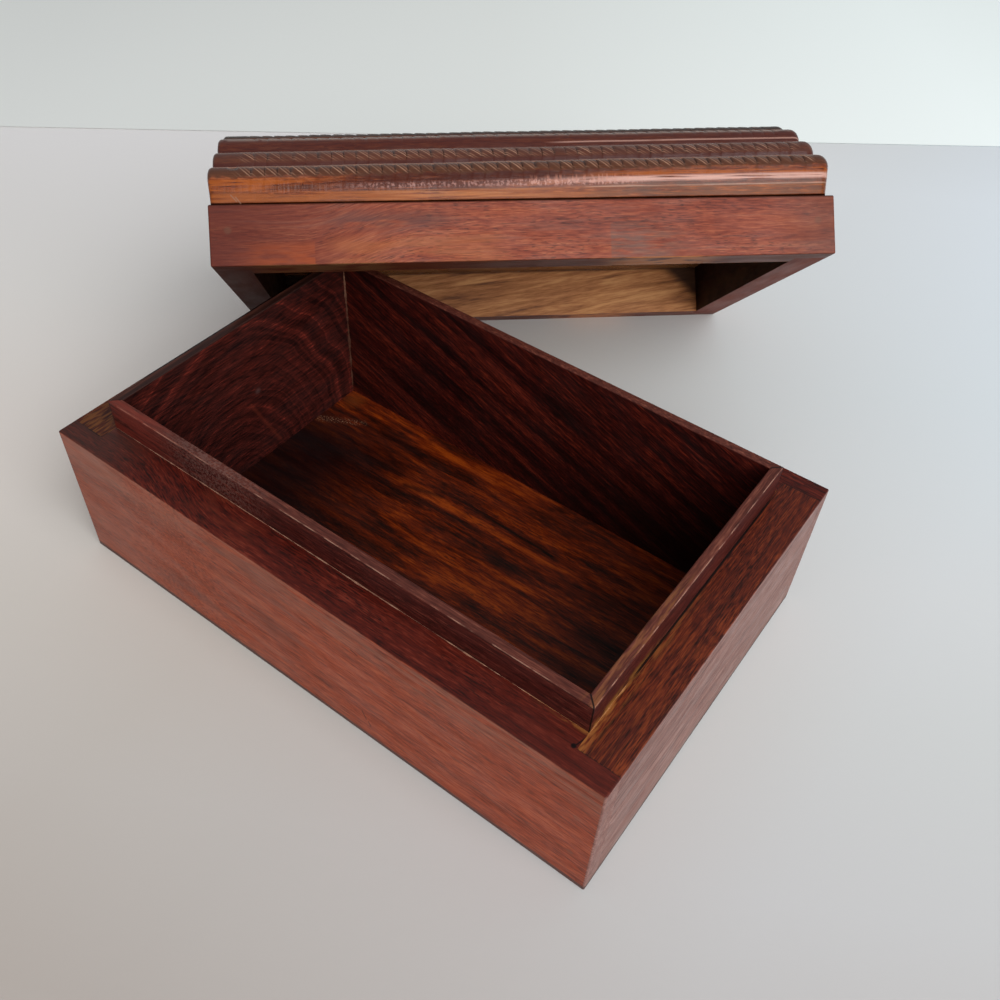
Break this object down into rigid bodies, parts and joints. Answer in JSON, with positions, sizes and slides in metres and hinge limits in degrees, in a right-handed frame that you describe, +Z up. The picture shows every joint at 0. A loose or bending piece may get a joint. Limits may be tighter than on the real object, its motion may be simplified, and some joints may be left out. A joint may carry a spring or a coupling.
{
  "type": "lidded wooden keepsake box",
  "caption": "Rectangular hardwood keepsake box with a raised inner lip and a lift-off lid whose thick domed top is carved in rope ridges.",
  "frame": {"origin": "centre of the base's underside, on the surface the box stands on", "axes": "+X to the right along the box's long side, +Y from the front wall to the back wall, +Z up out of the box"},
  "size_m": [0.2582, 0.271, 0.1107],
  "materials": {
    "walls": "satin lacquered dark red-brown hardwood",
    "liner": "satin lacquered dark hardwood, planed thin",
    "panel": "thinly lacquered hardwood panel",
    "carved_top": "carved hardwood, satin lacquer, darker in the gouges",
    "nails": "headless steel nails, set below the face and filled"
  },
  "bodies": {
    "base": {"base_front_wall": "walls", "base_back_wall": "walls", "base_left_end": "walls", "base_right_end": "walls", "liner_front": "liner", "liner_back": "liner", "liner_left": "liner", "liner_right": "liner", "bottom_panel": "panel", "base_corner_nails": "nails"},
    "lid": {"lid_front_wall": "walls", "lid_back_wall": "walls", "lid_left_end": "walls", "lid_right_end": "walls", "carved_top": "carved_top", "lid_corner_nails": "nails"}
  },
  "joints": [
    {"name": "lid_lift", "type": "slide", "parent": "base", "child": "lid", "axis": [-0.475, 0.5238, 0.7071], "range_m": [0, 0.06]}
  ]
}
